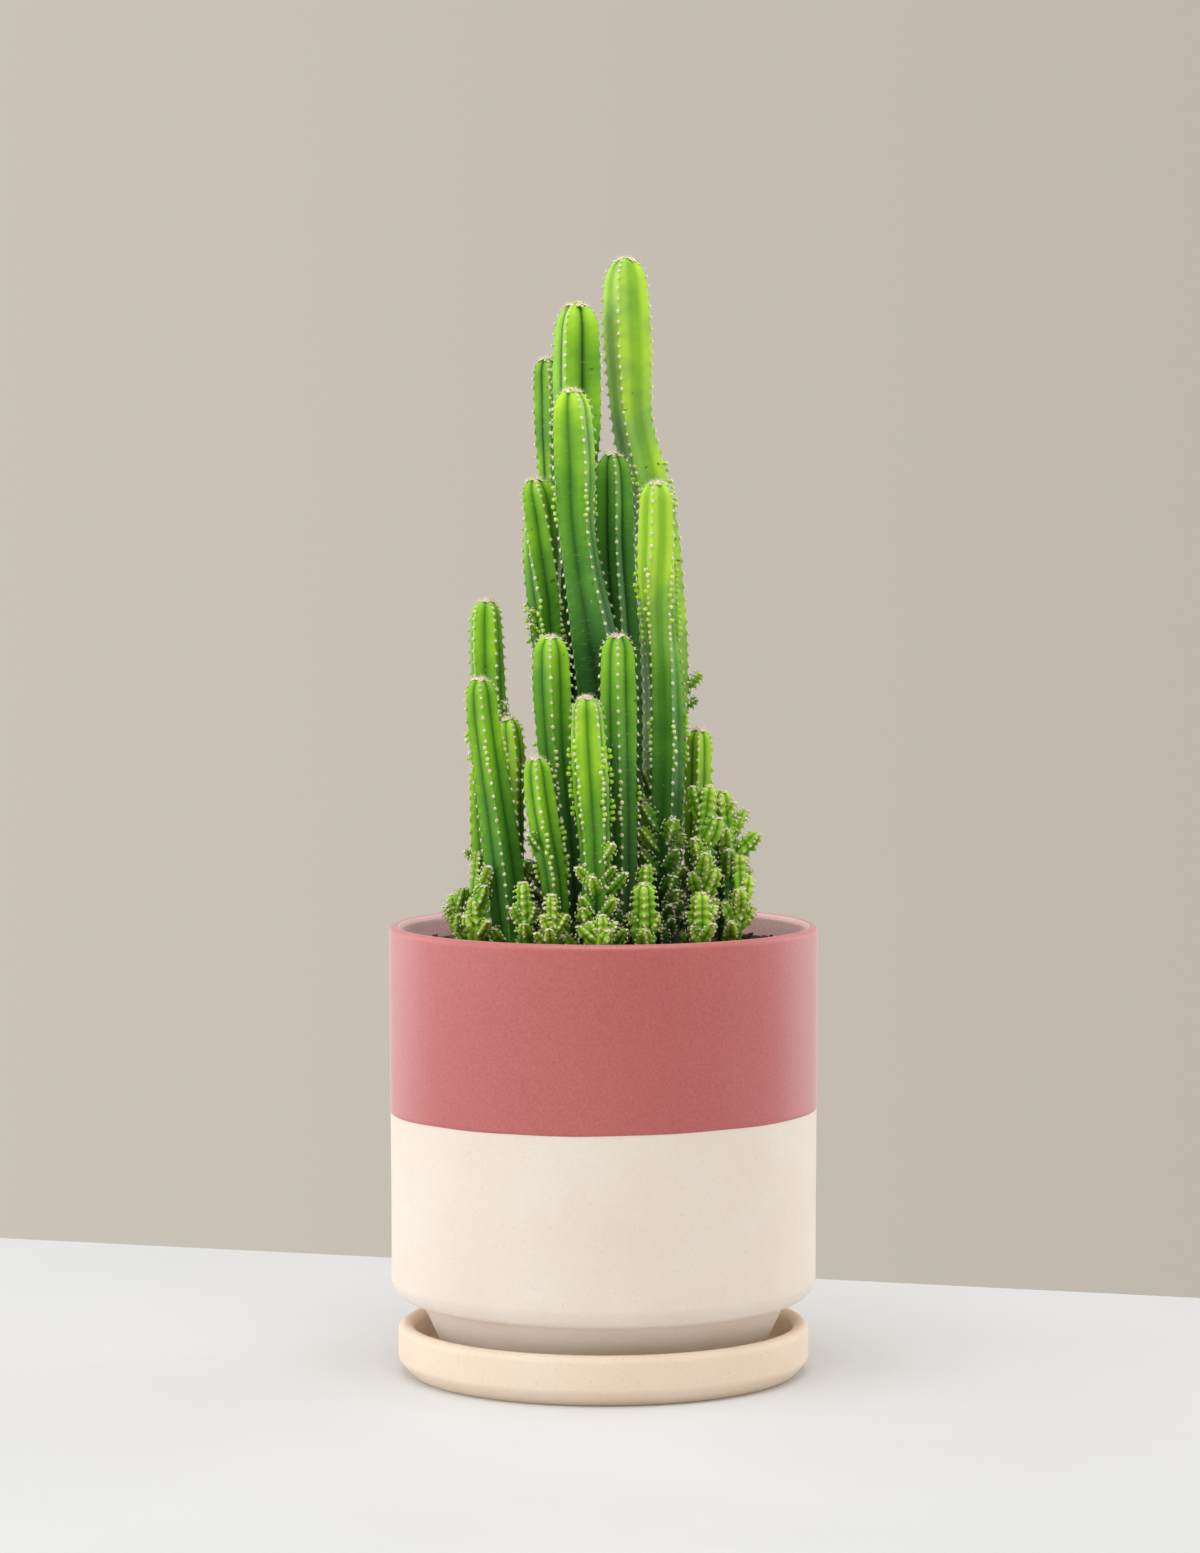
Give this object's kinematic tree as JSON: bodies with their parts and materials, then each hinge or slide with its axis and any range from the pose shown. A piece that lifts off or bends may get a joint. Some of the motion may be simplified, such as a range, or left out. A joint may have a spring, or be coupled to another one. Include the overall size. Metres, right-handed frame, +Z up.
{
  "type": "fairy castle cactus in a pot",
  "caption": "Clustered columnar cactus with toothed ribs and small offsets, in a two-tone ceramic pot on a matching saucer.",
  "frame": {"origin": "on the pot's axis, at the flat underside of the saucer", "axes": "+Z up along the pot's axis; the plant's front, with the lowest stems, faces -Y"},
  "size_m": [0.15, 0.15, 0.3905],
  "materials": {
    "pot": "satin",
    "saucer": "matte",
    "soil": "matte",
    "stem": "satin",
    "offset": "satin"
  },
  "bodies": {
    "root": {"offset_front": "offset", "offsets_back_left": "offset", "offsets_back_right": "offset", "offsets_far_left": "offset", "offsets_far_right": "offset", "offsets_front_left": "offset", "offsets_front_left_low": "offset", "offsets_front_mid": "offset", "offsets_left": "offset", "offsets_right": "offset", "offsets_right_front": "offset", "offsets_right_low": "offset", "pot": "pot", "saucer": "saucer", "soil": "soil", "stem_back_left": "stem", "stem_centre": "stem", "stem_centre_back": "stem", "stem_front_left": "stem", "stem_front_left_low": "stem", "stem_front_low": "stem", "stem_front_mid": "stem", "stem_front_right": "stem", "stem_left_back": "stem", "stem_left_front": "stem", "stem_left_low": "stem", "stem_left_mid": "stem", "stem_left_slim": "stem", "stem_right_low": "stem", "stem_second": "stem", "stem_tallest": "stem"}
  },
  "joints": []
}
